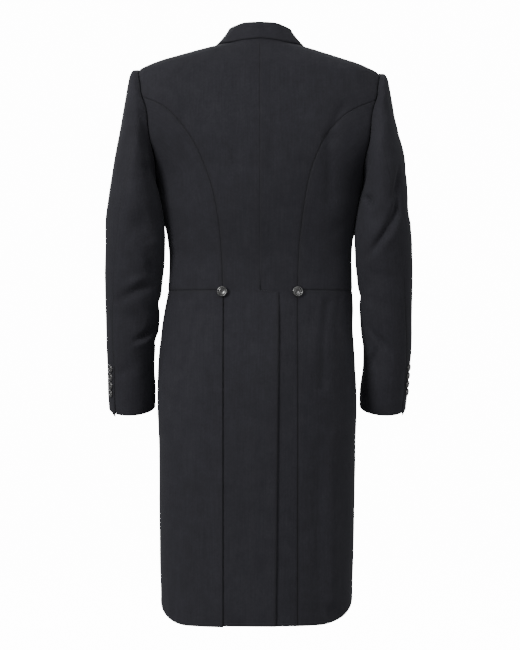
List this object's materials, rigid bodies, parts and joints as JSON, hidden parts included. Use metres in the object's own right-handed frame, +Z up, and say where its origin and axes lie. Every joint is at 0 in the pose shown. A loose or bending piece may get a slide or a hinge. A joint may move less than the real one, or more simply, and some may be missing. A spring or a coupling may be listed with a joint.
{
  "type": "white tie tailcoat",
  "caption": "Dark wool evening tailcoat, filled out as worn: open front cut off at the waist, long tails behind, folded collar and wide silk lapels.",
  "frame": {"origin": "where the wearer's shoulders carry the coat: midway between the shoulders, at the height of the centre back neck seam", "axes": "+Z up, from the hem of the tails towards the collar; -Y the way the wearer faces; +X the wearer's left"},
  "size_m": [0.5745, 0.2635, 1.1139],
  "materials": {
    "wool": "fine dark charcoal wool with a soft nap",
    "silk": "black silk satin",
    "button": "glossy black"
  },
  "bodies": {
    "root": {"back_left": "wool", "back_right": "wool", "side_left": "wool", "side_right": "wool", "front_left": "wool", "front_right": "wool", "skirt_left": "wool", "skirt_right": "wool", "collar": "wool", "sleeve_top_left": "wool", "sleeve_under_left": "wool", "sleeve_top_right": "wool", "sleeve_under_right": "wool", "lapel_left": "silk", "lapel_right": "silk", "back_button_left": "button", "back_button_right": "button", "cuff_button_left_1": "button", "cuff_button_left_2": "button", "cuff_button_left_3": "button", "cuff_button_left_4": "button", "cuff_button_right_1": "button", "cuff_button_right_2": "button", "cuff_button_right_3": "button", "cuff_button_right_4": "button", "front_button_left_1": "button", "front_button_left_2": "button", "front_button_left_3": "button", "front_button_right_1": "button", "front_button_right_2": "button", "front_button_right_3": "button"}
  },
  "joints": []
}
